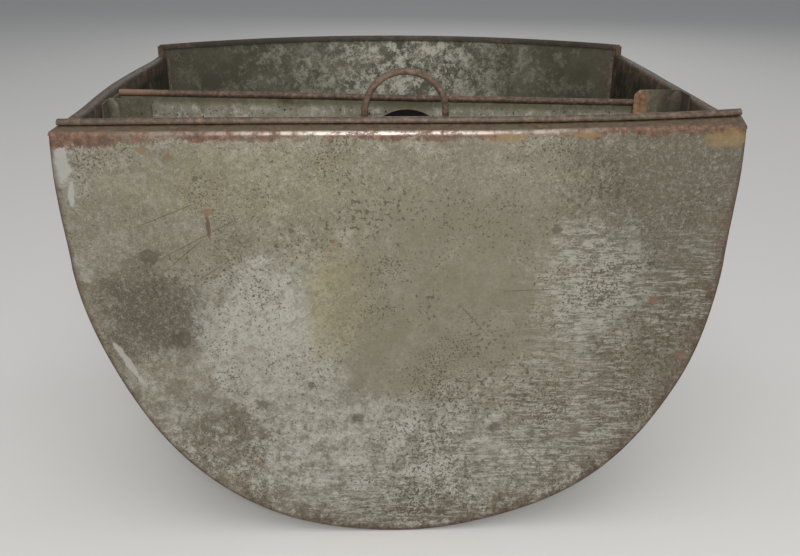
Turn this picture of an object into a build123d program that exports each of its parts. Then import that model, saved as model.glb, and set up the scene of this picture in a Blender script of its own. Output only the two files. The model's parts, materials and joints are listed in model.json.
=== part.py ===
from build123d import *
import os

# A tinplate trough with a round bottom, two flat end panels, a lift-out divider and a pull ring.
# Frame: X runs across, +Y from the near panel to the far panel, +Z up, in millimetres.
# The origin is on the ground, midway between the panels.

# ---- driving dimensions: the trough ----
DEPTH = 186.0            # outside of the near panel to outside of the far panel
END_RADIUS = 140.5       # round edge of both end panels
SIDE_HEIGHT = 61.0       # straight sides above the round part
WRAP_RADIUS = 134.0      # inside of the bent body sheet
NEAR_TOP_HALF = 140.0    # half width of the near panel at its top corners
FAR_TOP_HALF = 138.5     # half width of the far panel at its top corners
FAR_CORNER_RISE = 6.0    # far panel above the near panel's fold, at its corners
FAR_CROWN_RISE = 11.5    # and at the crown of its arched edge
FAR_HEM = 2.0            # width of the flat hem folded inside the arched edge

# ---- driving dimensions: sheet, seams and wired edges ----
WRAP_SHEET = 0.7
PANEL_SHEET = 0.8
LIP_WIDTH = 3.6          # how far an end panel's edge is turned in behind the body's flange
FLANGE_GAP = 0.3         # between the body's flange and the folded edge round it
SOLDER_LEG = 2.0         # run of solder in each inside corner
SIDE_BEAD = 5.0          # outside diameter of the wired edge along each side
NEAR_BEAD = 3.4          # outside diameter of the wired edge behind the near panel's top
SIDE_RIM_RISE = 0.8      # top of the side beads above the near panel's fold
WIRE_PLAY = 0.05         # radial space between a wire and the sheet rolled round it
CURL_SWEEP = 285.0       # degrees of sheet rolled round each wire

# ---- driving dimensions: the near panel's turned-back top ----
FOLD_RADIUS = 1.4        # to the middle of the sheet
SHELF_LENGTH = 5.8       # flat part between the fold and the bead
SHELF_RISE_DEG = 10.0
CORNER_TRIM = 1.4        # the shelf narrows this much towards the back, at each end
BEAD_CLEARANCE = 0.8     # side beads start this far behind the near bead

# ---- driving dimensions: the divider and its guides ----
DIVIDER_Y = -23.0
DIVIDER_RADIUS = 132.6
DIVIDER_TOP_HALF = 131.3
DIVIDER_FLOOR_GAP = 0.3
DIVIDER_TOP_DROP = 0.7   # top of the hem below the near panel's fold, at the middle
DIVIDER_TILT_DEG = 1.25  # it sits askew: left end high
DIVIDER_BEAD = 3.0
DIVIDER_BEAD_HALF = 129.5
FINGER_HOLE_RADIUS = 20.9
FINGER_HOLE_X = 4.1
FINGER_HOLE_DROP = 28.7  # hole centre below the near panel's fold
GUIDE_REACH = {"left": 19.5, "right": 22.0}   # how far a free leg stands in from the wall
GUIDE_BEND = 5.0         # to the middle of the sheet, between the two legs
GUIDE_FOOT = 14.0        # its leg along the wall, bend included
GUIDE_HEIGHT = 44.0
GUIDE_CHAMFER = 2.5
GUIDE_GAP = 0.35         # running space each side of the divider
FRONT_GUIDE_TOPS = {"left": -1.7, "right": 1.8}
REAR_GUIDE_TOPS = {"left": -3.0, "right": -7.0}

# ---- driving dimensions: the pull ring and its strap ----
RING_WIRE_RADIUS = 1.4
RING_RADIUS = 16.6       # to the middle of the wire
RING_X = 1.9
RING_LEG = 4.4           # straight leg between the base bar and the half circle
RING_CORNER = 2.6
RING_LEAN_DEG = 5.0      # it leans on the near bead
RING_AXIS_RISE = -0.6    # base bar above the near panel's fold
RING_AXIS_INSET = 11.2   # base bar behind the near panel's face
STRAP_SHEET = 0.6
STRAP_WIDTH = 12.0
STRAP_CLEARANCE = 0.3
STRAP_DROP = 16.0        # soldered leg down the inside of the near panel
STRAP_BEND = 1.0
DAB_RADIUS = 4.0         # solder dab on the foot of the strap and on each guide
DAB_HEIGHT = 0.9
DAB_SIDES = 12

# ---- places that follow ----
ARC_Z = END_RADIUS
TOP_Z = ARC_Z + SIDE_HEIGHT
NEAR_Y = -DEPTH / 2
WRAP_OUTER = WRAP_RADIUS + WRAP_SHEET
PANEL_INSIDE_Y = NEAR_Y + PANEL_SHEET
SIDE_BEAD_Z = TOP_Z + SIDE_RIM_RISE - SIDE_BEAD / 2
SIDE_BEAD_X = WRAP_RADIUS + SIDE_BEAD / 2
RING_AXIS_Y = NEAR_Y + RING_AXIS_INSET
RING_AXIS_Z = TOP_Z + RING_AXIS_RISE


def u_face(radius, top_half, top_z=TOP_Z, arc_z=ARC_Z):
    """A flat U: round below arc_z, then sides that run to top_half at top_z."""
    left_foot = (-radius, arc_z)
    right_foot = (radius, arc_z)
    left_top = (-top_half, top_z)
    right_top = (top_half, top_z)
    bottom = ThreePointArc(left_foot, (0, arc_z - radius), right_foot)
    sides = [Line(left_top, left_foot), Line(right_foot, right_top)]
    return make_face([sides[0], bottom, sides[1], Line(right_top, left_top)])


def slab(face, front_y, back_y):
    """A face drawn in X and Z, given thickness from front_y back to back_y."""
    return extrude(Plane.XZ.offset(-front_y) * face, amount=-(back_y - front_y))


def rolled(profile, half_length):
    """A strip drawn in Y and Z, run along X both ways."""
    return extrude(Plane.YZ * profile, amount=half_length, both=True)


def bar(radius, start, end):
    """A round wire from start to end."""
    path = Line(start, end)
    section = Plane(origin=start, z_dir=path % 0) * Circle(radius)
    return sweep(section, path)


def far_side(part):
    """The same piece at the other end of the trough."""
    return mirror(part, about=Plane.XZ)


def other_side(part):
    """The same piece on the other side wall."""
    return mirror(part, about=Plane.YZ)


# ---- end panels ----
def edge_fold(top_half, top_z):
    """The near panel's edge, turned back round the body's flange and in behind it."""
    stack = 2 * PANEL_SHEET + WRAP_SHEET
    outer = u_face(END_RADIUS, top_half, top_z)
    inside_wall = u_face(END_RADIUS - PANEL_SHEET, top_half - PANEL_SHEET, top_z)
    inside_lip = u_face(END_RADIUS - LIP_WIDTH, top_half - LIP_WIDTH, top_z)
    wall = slab(outer - inside_wall, NEAR_Y, NEAR_Y + stack)
    lip = slab(outer - inside_lip, NEAR_Y + stack - PANEL_SHEET, NEAR_Y + stack)
    return wall + lip


def near_shelf():
    """The near panel's top: folded back, sloped up a little and rolled round a wire."""
    fold_y = NEAR_Y + PANEL_SHEET / 2 + FOLD_RADIUS
    fold_z = TOP_Z - PANEL_SHEET / 2 - FOLD_RADIUS
    fold = CenterArc((fold_y, fold_z), FOLD_RADIUS, 180, SHELF_RISE_DEG - 90)
    shelf = PolarLine(fold @ 1, SHELF_LENGTH, SHELF_RISE_DEG)
    centre_y, centre_z = near_bead_centre()
    curl = CenterArc((centre_y, centre_z), (NEAR_BEAD - PANEL_SHEET) / 2, SHELF_RISE_DEG - 90, CURL_SWEEP)
    strip = trace([fold, shelf, curl], PANEL_SHEET)
    run = rolled(strip, NEAR_TOP_HALF)
    corners = [
        (-NEAR_TOP_HALF, NEAR_Y),
        (NEAR_TOP_HALF, NEAR_Y),
        (NEAR_TOP_HALF - CORNER_TRIM, NEAR_Y + RING_AXIS_INSET),
        (-NEAR_TOP_HALF + CORNER_TRIM, NEAR_Y + RING_AXIS_INSET),
    ]
    plan = extrude(make_face(Polyline(*corners, close=True)), amount=2 * TOP_Z)
    return run & plan


def near_bead_centre():
    """Centre of the wired edge behind the near panel's top, as Y and Z."""
    fold_y = NEAR_Y + PANEL_SHEET / 2 + FOLD_RADIUS
    fold_z = TOP_Z - PANEL_SHEET / 2 - FOLD_RADIUS
    fold = CenterArc((fold_y, fold_z), FOLD_RADIUS, 180, SHELF_RISE_DEG - 90)
    shelf = PolarLine(fold @ 1, SHELF_LENGTH, SHELF_RISE_DEG)
    rise = PolarLine(shelf @ 1, (NEAR_BEAD - PANEL_SHEET) / 2, SHELF_RISE_DEG + 90)
    centre = rise @ 1
    return centre.X, centre.Y


def make_near_end_panel():
    fold_start_z = TOP_Z - PANEL_SHEET / 2 - FOLD_RADIUS
    face = u_face(END_RADIUS, NEAR_TOP_HALF, fold_start_z)
    plate = slab(face, NEAR_Y, NEAR_Y + PANEL_SHEET)
    return plate + edge_fold(NEAR_TOP_HALF, fold_start_z) + near_shelf()


def make_near_rim_wire():
    centre_y, centre_z = near_bead_centre()
    half = NEAR_TOP_HALF - CORNER_TRIM
    radius = NEAR_BEAD / 2 - PANEL_SHEET - WIRE_PLAY
    return bar(radius, (-half, centre_y, centre_z), (half, centre_y, centre_z))


def arched_top(drop):
    """The far panel's outline above its corners, lowered by drop."""
    corner_z = TOP_Z + FAR_CORNER_RISE - drop
    crown_z = TOP_Z + FAR_CROWN_RISE - drop
    left = (-FAR_TOP_HALF, corner_z)
    right = (FAR_TOP_HALF, corner_z)
    crown = ThreePointArc(left, (0, crown_z), right)
    return make_face([crown, Line(right, left)])


def make_far_end_panel():
    corner_z = TOP_Z + FAR_CORNER_RISE
    face = u_face(END_RADIUS, FAR_TOP_HALF, corner_z)
    plate = slab(face + arched_top(0), NEAR_Y, NEAR_Y + PANEL_SHEET)
    hem_face = (face + arched_top(0)) - u_face(END_RADIUS, FAR_TOP_HALF, corner_z - FAR_HEM) - arched_top(FAR_HEM)
    hem = slab(hem_face, NEAR_Y + PANEL_SHEET, NEAR_Y + 2 * PANEL_SHEET)
    return far_side(plate + hem + edge_fold(FAR_TOP_HALF, corner_z - FAR_HEM))


# ---- body sheet and its wired sides ----
def wrap_flange(top_half):
    """The body sheet's near end, turned out to lie between the panel and its lip."""
    offset = PANEL_SHEET + FLANGE_GAP
    outer = u_face(END_RADIUS - offset, top_half - offset, SIDE_BEAD_Z)
    inner = u_face(WRAP_RADIUS, WRAP_RADIUS, SIDE_BEAD_Z)
    return slab(outer - inner, PANEL_INSIDE_Y, PANEL_INSIDE_Y + WRAP_SHEET)


def side_bead_ends():
    """Where the wired sides start behind the near bead and stop at the far seam."""
    start_y = near_bead_centre()[0] + NEAR_BEAD / 2 + BEAD_CLEARANCE
    stop_y = -NEAR_Y - 2 * PANEL_SHEET - WRAP_SHEET - 0.1
    return start_y, stop_y


def make_body_wrap():
    outer = u_face(WRAP_OUTER, WRAP_OUTER, SIDE_BEAD_Z)
    inner = u_face(WRAP_RADIUS, WRAP_RADIUS, SIDE_BEAD_Z)
    sheet = slab(outer - inner, PANEL_INSIDE_Y, -PANEL_INSIDE_Y)
    flanges = wrap_flange(NEAR_TOP_HALF) + far_side(wrap_flange(FAR_TOP_HALF))
    curl_line = CenterArc((SIDE_BEAD_X, SIDE_BEAD_Z), (SIDE_BEAD - WRAP_SHEET) / 2, 180, -CURL_SWEEP)
    curl = slab(trace(curl_line, WRAP_SHEET), *side_bead_ends())
    return sheet + flanges + curl + other_side(curl)


def make_right_rim_wire():
    start_y, stop_y = side_bead_ends()
    radius = SIDE_BEAD / 2 - WRAP_SHEET - WIRE_PLAY
    return bar(radius, (SIDE_BEAD_X, start_y, SIDE_BEAD_Z), (SIDE_BEAD_X, stop_y, SIDE_BEAD_Z))


def make_near_seam_solder():
    """A run of solder in the corner between the body sheet and the near panel."""
    radius = WRAP_RADIUS
    left = Line((-radius, PANEL_INSIDE_Y, SIDE_BEAD_Z), (-radius, PANEL_INSIDE_Y, ARC_Z))
    bottom = ThreePointArc(left @ 1, (0, PANEL_INSIDE_Y, ARC_Z - radius), (radius, PANEL_INSIDE_Y, ARC_Z))
    right = Line(bottom @ 1, (radius, PANEL_INSIDE_Y, SIDE_BEAD_Z))
    corner = Vector(left @ 0)
    points = [corner, corner + Vector(SOLDER_LEG, 0, 0), corner + Vector(0, SOLDER_LEG, 0)]
    section = Face(Wire.make_polygon(points))
    return sweep(section, Wire([left, bottom, right]))


# ---- guides for the divider ----
def right_guide(free_y, direction, reach, top_rise):
    """An L of sheet on the right wall. Its free leg's divider side is at free_y; direction is -1
    for a guide in front of the divider and 1 for one behind it."""
    top_z = TOP_Z + top_rise
    bottom_z = TOP_Z - GUIDE_HEIGHT
    tip_x = WRAP_RADIUS - reach
    wall_x = WRAP_RADIUS - WRAP_SHEET / 2
    bend_x = wall_x - GUIDE_BEND
    leg_y = free_y + direction * WRAP_SHEET / 2
    foot_y = free_y + direction * GUIDE_FOOT
    leg = Line((tip_x, leg_y), (bend_x, leg_y))
    bend = CenterArc((bend_x, leg_y + direction * GUIDE_BEND), GUIDE_BEND, -90 * direction, 90 * direction)
    foot = Line(bend @ 1, (wall_x, foot_y))
    strip = extrude(trace([leg, bend, foot], WRAP_SHEET), amount=2 * TOP_Z)
    outline = [
        (WRAP_RADIUS, bottom_z),
        (tip_x + GUIDE_CHAMFER, bottom_z),
        (tip_x, bottom_z + GUIDE_CHAMFER),
        (tip_x, top_z - GUIDE_CHAMFER),
        (tip_x + GUIDE_CHAMFER, top_z),
        (bend_x, top_z),
        (WRAP_RADIUS, min(top_z, SIDE_BEAD_Z)),
    ]
    near_y, far_y = sorted((free_y, foot_y))
    return strip & slab(make_face(Polyline(*outline, close=True)), near_y, far_y)


def front_guide_y():
    return DIVIDER_Y + WRAP_SHEET / 2 - DIVIDER_BEAD - GUIDE_GAP


def rear_guide_y():
    return DIVIDER_Y + WRAP_SHEET / 2 + GUIDE_GAP


def make_guide(side, row):
    """The guide on one side, in front of the divider or behind it."""
    if row == "front":
        guide = right_guide(front_guide_y(), -1, GUIDE_REACH[side], FRONT_GUIDE_TOPS[side])
    else:
        guide = right_guide(rear_guide_y(), 1, GUIDE_REACH[side], REAR_GUIDE_TOPS[side])
    return guide if side == "right" else other_side(guide)


def solder_dab(place, outward):
    """A low dab of solder on a face at place, standing out along outward and narrower at its top."""
    base = Plane(origin=place, z_dir=outward)
    foot = base * RegularPolygon(DAB_RADIUS, DAB_SIDES)
    top = base * Pos(0, 0, DAB_HEIGHT) * RegularPolygon(DAB_RADIUS / 2, DAB_SIDES)
    return loft([foot, top], ruled=True)


def make_guide_solder():
    """One dab on the foot of each guide."""
    foot_x = WRAP_RADIUS - WRAP_SHEET
    foot_z = TOP_Z - GUIDE_HEIGHT / 2
    dab_inset = GUIDE_FOOT - DAB_RADIUS - 0.3
    front_y = front_guide_y() - dab_inset
    rear_y = rear_guide_y() + dab_inset
    dabs = []
    for side in (-1, 1):
        for y in (front_y, rear_y):
            dabs.append(solder_dab((side * foot_x, y, foot_z), (-side, 0, 0)))
    return Compound(children=dabs)


# ---- divider ----
def tilted(part):
    """Turned a little about the middle of the round bottom, as the loose divider sits."""
    axis = Axis((0, DIVIDER_Y, divider_arc_z()), (0, 1, 0))
    return part.rotate(axis, DIVIDER_TILT_DEG)


def divider_arc_z():
    return ARC_Z - WRAP_RADIUS + DIVIDER_FLOOR_GAP + DIVIDER_RADIUS


def divider_bead_centre():
    """Centre of the divider's wired top edge, as Y and Z."""
    return DIVIDER_Y + WRAP_SHEET / 2 - DIVIDER_BEAD / 2, TOP_Z - DIVIDER_TOP_DROP - DIVIDER_BEAD / 2


def make_divider_plate():
    centre_y, centre_z = divider_bead_centre()
    face = u_face(DIVIDER_RADIUS, DIVIDER_TOP_HALF, centre_z, divider_arc_z())
    hole = Pos(FINGER_HOLE_X, TOP_Z - FINGER_HOLE_DROP) * Circle(FINGER_HOLE_RADIUS)
    plate = slab(face - hole, DIVIDER_Y - WRAP_SHEET / 2, DIVIDER_Y + WRAP_SHEET / 2)
    curl_line = CenterArc((centre_y, centre_z), (DIVIDER_BEAD - WRAP_SHEET) / 2, 0, CURL_SWEEP)
    curl = rolled(trace(curl_line, WRAP_SHEET), DIVIDER_BEAD_HALF)
    return tilted(plate + curl)


def make_divider_rim_wire():
    centre_y, centre_z = divider_bead_centre()
    radius = DIVIDER_BEAD / 2 - WRAP_SHEET - WIRE_PLAY
    half = DIVIDER_BEAD_HALF
    return tilted(bar(radius, (-half, centre_y, centre_z), (half, centre_y, centre_z)))


# ---- pull ring ----
def make_pull_ring():
    """A closed D of wire: a base bar, two short legs and a half circle."""
    bar_half = RING_RADIUS - RING_CORNER
    base = Line((-bar_half, 0), (bar_half, 0))
    right_corner = CenterArc((bar_half, RING_CORNER), RING_CORNER, -90, 90)
    right_leg = Line((RING_RADIUS, RING_CORNER), (RING_RADIUS, RING_LEG))
    half_circle = CenterArc((0, RING_LEG), RING_RADIUS, 0, 180)
    left_leg = Line((-RING_RADIUS, RING_LEG), (-RING_RADIUS, RING_CORNER))
    left_corner = CenterArc((-bar_half, RING_CORNER), RING_CORNER, 180, 90)
    outline = Wire([base, right_corner, right_leg, half_circle, left_leg, left_corner])
    section = Plane(origin=outline @ 0, z_dir=outline % 0) * Circle(RING_WIRE_RADIUS)
    ring = sweep(section, outline)
    upright = Plane.XZ.offset(-RING_AXIS_Y) * Pos(RING_X, RING_AXIS_Z) * ring
    return upright.rotate(Axis((RING_X, RING_AXIS_Y, RING_AXIS_Z), (1, 0, 0)), RING_LEAN_DEG)


def make_ring_strap():
    """A strip of sheet round the ring's base bar, run forward under the shelf and down the panel."""
    loop_radius = RING_WIRE_RADIUS + STRAP_CLEARANCE + STRAP_SHEET / 2
    run_z = RING_AXIS_Z - loop_radius
    leg_y = PANEL_INSIDE_Y + STRAP_SHEET / 2
    leg = Line((leg_y, TOP_Z - STRAP_DROP), (leg_y, run_z - STRAP_BEND))
    bend = CenterArc((leg_y + STRAP_BEND, run_z - STRAP_BEND), STRAP_BEND, 180, -90)
    run = Line(bend @ 1, (RING_AXIS_Y, run_z))
    loop = CenterArc((RING_AXIS_Y, RING_AXIS_Z), loop_radius, -90, CURL_SWEEP)
    strip = trace([leg, bend, run, loop], STRAP_SHEET)
    return Pos(RING_X, 0, 0) * rolled(strip, STRAP_WIDTH / 2)


def make_strap_solder():
    """The dab that holds the strap's leg to the near panel."""
    foot_z = TOP_Z - STRAP_DROP + DAB_RADIUS
    return solder_dab((RING_X, PANEL_INSIDE_Y + STRAP_SHEET, foot_z), (0, 1, 0))


parts = {
    "body_wrap": make_body_wrap(),
    "right_rim_wire": make_right_rim_wire(),
    "left_rim_wire": other_side(make_right_rim_wire()),
    "near_end_panel": make_near_end_panel(),
    "near_rim_wire": make_near_rim_wire(),
    "far_end_panel": make_far_end_panel(),
    "near_seam_solder": make_near_seam_solder(),
    "far_seam_solder": far_side(make_near_seam_solder()),
    "right_front_guide": make_guide("right", "front"),
    "left_front_guide": make_guide("left", "front"),
    "right_rear_guide": make_guide("right", "rear"),
    "left_rear_guide": make_guide("left", "rear"),
    "guide_solder": make_guide_solder(),
    "ring_strap": make_ring_strap(),
    "strap_solder": make_strap_solder(),
    "divider_plate": make_divider_plate(),
    "divider_rim_wire": make_divider_rim_wire(),
    "pull_ring": make_pull_ring(),
}

os.makedirs("parts", exist_ok=True)
for name, part in parts.items():
    export_step(part, f"parts/{name}.step")
    size = part.bounding_box()
    print(name, "X", round(size.min.X, 2), round(size.max.X, 2), "Y", round(size.min.Y, 2),
          round(size.max.Y, 2), "Z", round(size.min.Z, 2), round(size.max.Z, 2))
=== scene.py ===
# %% [markdown]
# # A tinplate feed scoop with a round bottom
# This lesson builds the looks of an old feed scoop: a trough of thin tinned sheet with two flat
# end panels, a divider that lifts out and a small wire ring to pull it by. The solid model behind
# it already says where everything is and how it moves, so each piece here is measured from it.
# We first read that model, then set up the view, then mix the finishes, then make the pieces.

import json
import math

import bmesh
import bpy
from mathutils import Matrix, Vector, noise


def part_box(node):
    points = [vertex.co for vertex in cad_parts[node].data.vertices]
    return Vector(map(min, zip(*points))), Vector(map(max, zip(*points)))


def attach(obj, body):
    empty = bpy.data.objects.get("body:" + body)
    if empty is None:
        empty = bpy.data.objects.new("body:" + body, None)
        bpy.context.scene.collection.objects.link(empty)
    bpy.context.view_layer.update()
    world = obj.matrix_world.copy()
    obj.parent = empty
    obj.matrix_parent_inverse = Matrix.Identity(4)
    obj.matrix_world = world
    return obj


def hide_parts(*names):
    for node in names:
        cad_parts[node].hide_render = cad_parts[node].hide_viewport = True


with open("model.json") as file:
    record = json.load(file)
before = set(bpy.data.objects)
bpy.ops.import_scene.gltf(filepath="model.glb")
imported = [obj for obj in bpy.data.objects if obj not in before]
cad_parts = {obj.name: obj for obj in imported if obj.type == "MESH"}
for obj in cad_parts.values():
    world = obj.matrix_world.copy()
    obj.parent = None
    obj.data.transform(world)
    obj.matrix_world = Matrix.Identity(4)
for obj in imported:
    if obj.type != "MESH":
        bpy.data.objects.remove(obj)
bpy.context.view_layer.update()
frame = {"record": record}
MM = 0.001

# %% [markdown]
# ## Measures
# A box round each solid piece gives nearly every size. The near panel is a U, so its half width is
# also the radius of its round bottom. A solder run lies in the corner of the body sheet, so its
# widest point is the inside of that sheet.

# %% Take the measures from the solid pieces
near_low, near_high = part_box("near_end_panel")
far_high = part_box("far_end_panel")[1]
corner_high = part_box("near_seam_solder")[1]
side_wire_low, side_wire_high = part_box("right_rim_wire")
near_wire_low, near_wire_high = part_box("near_rim_wire")

PANEL_SHEET = 0.8 * MM
WRAP_SHEET = 0.7 * MM
END_RADIUS = near_high.x
ARC_Z = END_RADIUS
NEAR_Y = near_low.y
FAR_Y = far_high.y
WRAP_RADIUS = corner_high.x
SIDE_TOP = corner_high.z
NEAR_BEAD_Y = (near_wire_low.y + near_wire_high.y) / 2
NEAR_BEAD_Z = (near_wire_low.z + near_wire_high.z) / 2
TOP_Z = ARC_Z + 61 * MM
FAR_TOP_HALF = 138.5 * MM
FAR_CORNER_Z = TOP_Z + 6 * MM
FOLD_SAG = 1.7 * MM
DIVIDER_TILT = math.radians(1.25)
print("trough", round(2 * END_RADIUS, 4), "wide,", round(FAR_Y - NEAR_Y, 4), "deep,", round(TOP_Z, 4), "high")

# %% [markdown]
# ## Camera
# The scoop is seen from a little above, straight on to its near panel. A camera is placed with three
# turns: down, sideways and a slight roll. Building the rotation from those three angles keeps them
# readable, where a Track To constraint would hide the roll.

# %% Place the camera
CAMERA_AT = Vector((-0.0115, NEAR_Y - 0.3356, TOP_Z + 0.0788))
LOOK_DOWN = math.radians(23.29)
LOOK_RIGHT = math.radians(1.91)
ROLL = math.radians(0.28)
LENS_MM = 38.25

camera_data = bpy.data.cameras.new("camera")
camera_data.lens = LENS_MM
camera_data.sensor_width = 36.0
camera = bpy.data.objects.new("camera", camera_data)
turn = Matrix.Rotation(-LOOK_RIGHT, 4, "Z") @ Matrix.Rotation(math.pi / 2 - LOOK_DOWN, 4, "X")
camera.matrix_world = Matrix.Translation(CAMERA_AT) @ turn @ Matrix.Rotation(ROLL, 4, "Z")
bpy.context.scene.collection.objects.link(camera)
bpy.context.scene.camera = camera
print("camera stands", round((CAMERA_AT - Vector((0, NEAR_Y, TOP_Z))).length, 3), "m from the near rim")

# %% [markdown]
# ## Stage and light
# Old tin needs soft light from large lamps, so that its dents and worn edges show without glare. One
# broad lamp hangs above and in front, a small one sits by the camera and puts the bright line on the
# folded rim, and three weak ones fill the two sides and the back. The floor is one pale plane.

# %% Build the floor and the lamps
FLOOR_REACH = 4.0


def plain_floor():
    bm = bmesh.new()
    bmesh.ops.create_grid(bm, x_segments=2, y_segments=2, size=FLOOR_REACH)
    mesh = bpy.data.meshes.new("floor")
    bm.to_mesh(mesh)
    bm.free()
    floor = bpy.data.objects.new("floor", mesh)
    bpy.context.scene.collection.objects.link(floor)
    paper = bpy.data.materials.new("pale_floor")
    paper.use_nodes = True
    shader = paper.node_tree.nodes["Principled BSDF"]
    shader.inputs["Base Color"].default_value = (0.62, 0.6, 0.575, 1)
    shader.inputs["Roughness"].default_value = 0.75
    mesh.materials.append(paper)


def lamp(name, place, target, size, power, colour=(1, 1, 1)):
    """A square soft lamp that faces target."""
    data = bpy.data.lights.new(name, "AREA")
    data.size = size
    data.energy = power
    data.color = colour
    made = bpy.data.objects.new(name, data)
    aim = Vector(target) - Vector(place)
    made.matrix_world = Matrix.Translation(place) @ aim.to_track_quat("-Z", "Y").to_matrix().to_4x4()
    bpy.context.scene.collection.objects.link(made)


plain_floor()
MIDDLE = (0, 0, 0.11)
lamp("overhead_lamp", (0.0, -0.55, 1.25), MIDDLE, 1.1, 8.6)
lamp("camera_lamp", (0.0, -0.62, 0.42), (0, -0.05, 0.12), 0.14, 2.2)
lamp("left_fill", (-1.5, 0.2, 0.8), MIDDLE, 1.0, 4)
lamp("right_fill", (1.5, 0.3, 0.8), MIDDLE, 1.0, 4)
lamp("back_fill", (0.2, 1.6, 1.0), MIDDLE, 1.0, 4.5)

world = bpy.data.worlds.new("studio")
world.use_nodes = True
world.node_tree.nodes["Background"].inputs["Color"].default_value = (0.9, 0.95, 1.0, 1)
world.node_tree.nodes["Background"].inputs["Strength"].default_value = 0.32
bpy.context.scene.world = world
bpy.context.scene.view_settings.view_transform = "Standard"

# %% [markdown]
# ## Small helpers for node trees
# Every finish is a tree of nodes. A few helpers keep the trees short: one adds a node and fills its
# sockets with values or links, and others do the same for a Math node, a ramp or a group. Colours are
# written as they look on screen, from 0 to 255, and turned into the linear values that the renderer
# wants.

# %% Add nodes with values or links
def shade(red, green, blue):
    """A linear colour from the values that it has on screen."""
    return tuple((v / 255) ** 2.2 for v in (red, green, blue)) + (1.0,)


def feed(tree, socket, value):
    """Gives a socket a link or a value."""
    if isinstance(value, bpy.types.NodeSocket):
        tree.links.new(value, socket)
    else:
        socket.default_value = value


def add(tree, kind, inputs=None, **settings):
    """One node, with its settings, and each input given a value or a link."""
    made = tree.nodes.new(kind)
    for name, value in settings.items():
        setattr(made, name, value)
    for name, value in (inputs or {}).items():
        feed(tree, made.inputs[name], value)
    return made


def maths(tree, operation, first, second=0.0, third=0.0):
    """A Math node's result."""
    return add(tree, "ShaderNodeMath", {0: first, 1: second, 2: third}, operation=operation).outputs[0]


def smooth_between(tree, value, low, high):
    """0 below low, 1 above high, and a smooth ramp in between. The limits may be links."""
    inputs = {"Value": value, "From Min": low, "From Max": high}
    return add(tree, "ShaderNodeMapRange", inputs, interpolation_type="SMOOTHSTEP").outputs["Result"]


def one_over(tree, value):
    return maths(tree, "DIVIDE", 1.0, value)


def about(tree, value, level, softness):
    """0 to 1 as value passes level, over softness to each side."""
    low = maths(tree, "SUBTRACT", level, softness)
    high = maths(tree, "ADD", level, softness)
    return smooth_between(tree, value, low, high)


def group(name, inputs, outputs):
    """An empty node group with named sockets. Returns the tree, its inputs and its outputs."""
    tree = bpy.data.node_groups.new(name, "ShaderNodeTree")
    for label, kind, value in inputs:
        socket = tree.interface.new_socket(label, in_out="INPUT", socket_type=kind)
        if value is not None:
            socket.default_value = value
    for label, kind in outputs:
        tree.interface.new_socket(label, in_out="OUTPUT", socket_type=kind)
    return tree, tree.nodes.new("NodeGroupInput").outputs, tree.nodes.new("NodeGroupOutput").inputs


FLOAT = "NodeSocketFloat"
VECTOR = "NodeSocketVector"
COLOUR = "NodeSocketColor"
print("helpers ready")

# %% [markdown]
# ## Patterns shared by the finishes
# Aged tinplate shows the same few things everywhere: soft clouds of tarnish, fine dark pits, long
# wipe marks, stains with ragged rims, and rust. Each is a node group, so that every finish can use
# it at its own size. All of them take a point in millimetres, so a size of 3 means 3 mm.

# %% Clouds, pits and streaks
def make_cloud_group():
    tree, given, result = group(
        "tarnish_cloud",
        [("Place", VECTOR, None), ("Size", FLOAT, 20.0), ("Level", FLOAT, 0.5), ("Softness", FLOAT, 0.1),
         ("Shift", FLOAT, 0.0), ("Grain", FLOAT, 0.7)],
        [("Mask", FLOAT)],
    )
    scale = one_over(tree, given["Size"])
    inputs = {"Vector": given["Place"], "W": given["Shift"], "Scale": scale,
              "Detail": 8.0, "Roughness": given["Grain"]}
    made = add(tree, "ShaderNodeTexNoise", inputs, noise_dimensions="4D")
    tree.links.new(about(tree, made.outputs["Fac"], given["Level"], given["Softness"]), result["Mask"])
    return tree


def make_pit_group():
    """Fine specks that gather in drifts."""
    tree, given, result = group(
        "rust_pits",
        [("Place", VECTOR, None), ("Size", FLOAT, 1.2), ("Level", FLOAT, 0.62), ("Drift", FLOAT, 30.0),
         ("Gather", FLOAT, 0.4), ("Extra", FLOAT, 0.0)],
        [("Mask", FLOAT)],
    )
    fine = add(tree, "ShaderNodeTexNoise", {"Vector": given["Place"], "Scale": one_over(tree, given["Size"]),
                                            "Detail": 3.0, "Roughness": 0.55})
    drift_scale = one_over(tree, given["Drift"])
    drift = add(tree, "ShaderNodeTexNoise", {"Vector": given["Place"], "Scale": drift_scale, "Detail": 3.0})
    centred = maths(tree, "SUBTRACT", drift.outputs["Fac"], 0.5)
    lifted = maths(tree, "MULTIPLY_ADD", centred, given["Gather"], fine.outputs["Fac"])
    total = maths(tree, "ADD", lifted, given["Extra"])
    high = maths(tree, "ADD", given["Level"], 0.06)
    tree.links.new(smooth_between(tree, total, given["Level"], high), result["Mask"])
    return tree


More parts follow.
